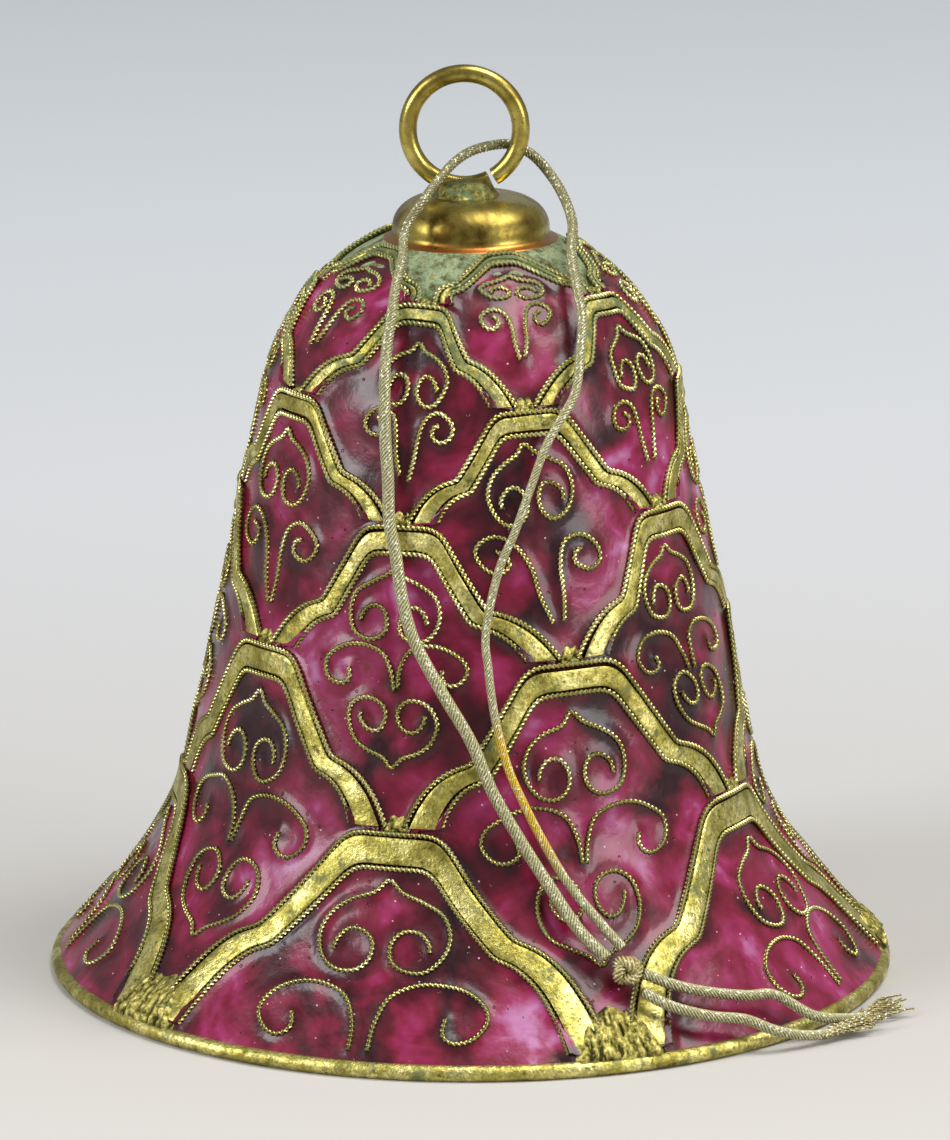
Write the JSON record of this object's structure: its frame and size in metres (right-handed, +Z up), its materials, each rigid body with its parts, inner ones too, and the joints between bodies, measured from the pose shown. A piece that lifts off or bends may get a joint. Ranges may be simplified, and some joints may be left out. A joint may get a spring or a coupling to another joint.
{
  "type": "enamelled bell ornament",
  "caption": "Small enamelled filigree bell with gilt arch ribbons, a domed cap and split ring, a swinging clapper and a knotted thread hanging loop.",
  "frame": {"origin": "centre of the mouth, on the standing surface", "axes": "+Z up the bell's axis, front towards -Y, +X to the right seen from the front"},
  "size_m": [0.0528, 0.0524, 0.0566],
  "materials": {
    "copper": "spun copper, dark brown inside",
    "gilt": "rolled gilt ribbon, mottled, with dark specks",
    "gilt_wire": "twisted gilt wire, dark in the twist",
    "enamel": "translucent crimson to magenta glass enamel, glossy",
    "cap_brass": "polished brass with brown and green tarnish",
    "solder": "rough grey-green solder",
    "cord": "twisted pale metallic thread"
  },
  "bodies": {
    "bell": {"bell_shell": "copper", "rim_bead": "cap_brass", "crown_cap": "cap_brass", "hanging_ring": "cap_brass", "ring_solder": "solder", "foot_solder": "solder", "arch_1_1": "gilt", "arch_1_2": "gilt", "arch_1_3": "gilt", "arch_1_4": "gilt", "arch_1_5": "gilt", "arch_2_1": "gilt", "arch_2_2": "gilt", "arch_2_3": "gilt", "arch_2_4": "gilt", "arch_2_5": "gilt", "arch_3_1": "gilt", "arch_3_2": "gilt", "arch_3_3": "gilt", "arch_3_4": "gilt", "arch_3_5": "gilt", "arch_4_1": "gilt", "arch_4_2": "gilt", "arch_4_3": "gilt", "arch_4_4": "gilt", "arch_4_5": "gilt", "arch_5_1": "gilt", "arch_5_2": "gilt", "arch_5_3": "gilt", "arch_5_4": "gilt", "arch_5_5": "gilt", "arch_row_6": "gilt", "edge_wires_row_1": "gilt_wire", "edge_wires_row_2": "gilt_wire", "edge_wires_row_3": "gilt_wire", "edge_wires_row_4": "gilt_wire", "edge_wires_row_5": "gilt_wire", "edge_wires_row_6": "gilt_wire", "enamel_row_1": "enamel", "enamel_row_2": "enamel", "enamel_row_3": "enamel", "enamel_row_4": "enamel", "enamel_row_5": "enamel", "enamel_row_6": "enamel", "filigree_row_1": "gilt_wire", "filigree_row_2": "gilt_wire", "filigree_row_3": "gilt_wire", "filigree_row_4": "gilt_wire", "filigree_row_5": "gilt_wire", "filigree_row_6": "gilt_wire", "clapper_staple": "copper", "cord": "cord", "cord_knot": "cord", "cord_tails": "cord", "cord_frays": "cord"},
    "link": {"clapper_link": "cap_brass"},
    "clapper": {"clapper_wire": "cap_brass", "clapper_ball": "cap_brass"}
  },
  "joints": [
    {"name": "link_swing", "type": "hinge", "parent": "bell", "child": "link", "pos_m": [0, 0, 0.04208], "axis": [1, 0, 0], "range_deg": [-10, 10]},
    {"name": "clapper_swing", "type": "hinge", "parent": "link", "child": "clapper", "pos_m": [0, 0, 0.04043], "axis": [0, 1, 0], "range_deg": [-24, 24]}
  ]
}
